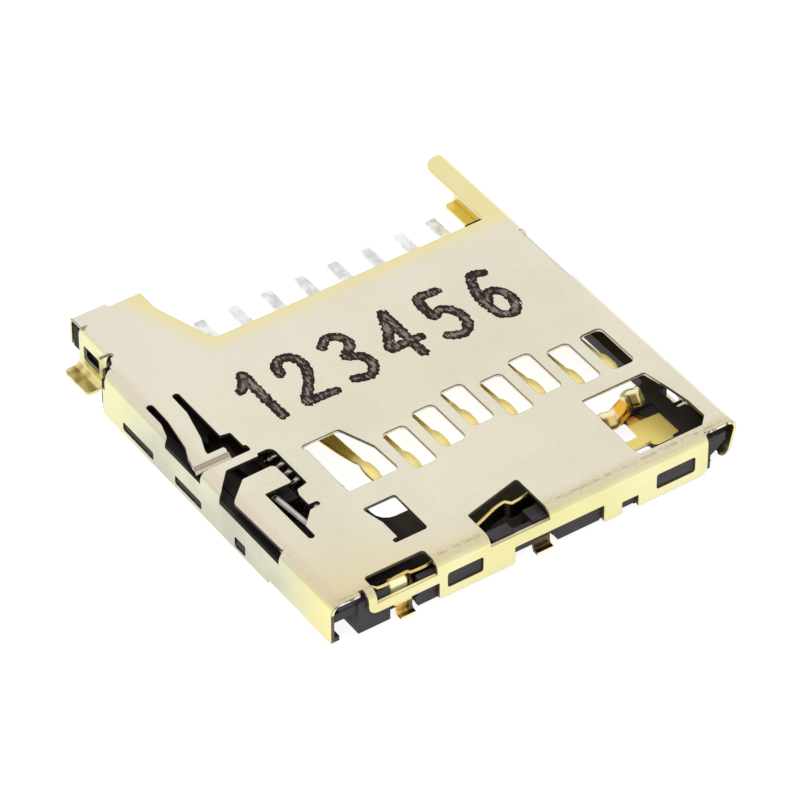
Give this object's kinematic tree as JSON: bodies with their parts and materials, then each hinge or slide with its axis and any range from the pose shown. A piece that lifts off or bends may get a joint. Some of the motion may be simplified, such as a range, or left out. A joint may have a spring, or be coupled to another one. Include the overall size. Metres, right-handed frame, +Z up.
{
  "type": "microsd card connector",
  "caption": "Surface-mount push-push socket for a small memory card: folded gold-tone shell, moulded base, sprung contacts, sliding ejector and card switch.",
  "frame": {"origin": "centre of the footprint on the circuit board, at the underside of the soldering feet", "axes": "+X towards the ejector side, +Y the way the card goes in, +Z up from the circuit board"},
  "size_m": [0.013, 0.0138, 0.0014],
  "materials": {
    "shell_metal": "satin, thin gold flash over nickel",
    "base_plastic": "moulded, glass-filled",
    "contact_metal": "gold crest, tinned tail",
    "slider_plastic": "moulded",
    "spring_steel": "drawn wire",
    "switch_metal": "gold plated"
  },
  "bodies": {
    "socket": {"shell": "shell_metal", "housing": "base_plastic", "contact_1": "contact_metal", "contact_2": "contact_metal", "contact_3": "contact_metal", "contact_4": "contact_metal", "contact_5": "contact_metal", "contact_6": "contact_metal", "contact_7": "contact_metal", "contact_8": "contact_metal", "eject_spring": "spring_steel", "switch_blade": "switch_metal", "switch_plate": "switch_metal"},
    "ejector": {"slider": "slider_plastic"},
    "latch": {"latch_wire": "spring_steel"}
  },
  "joints": [
    {"name": "slider_travel", "type": "slide", "parent": "socket", "child": "ejector", "axis": [0, 1, 0], "range_m": [0, 0.003], "stiffness_N_per_m": 60, "springref_m": -0.003, "deforming": ["eject_spring"]},
    {"name": "latch_swing", "type": "hinge", "parent": "socket", "child": "latch", "pos_m": [0.00483, 0.00585, 0.0012], "axis": [0, 0, 1], "range_deg": [0, 6.1]}
  ],
  "couplings": [
    {"joint": "latch_swing", "follows": "slider_travel", "rad_per_m": 35.48}
  ]
}
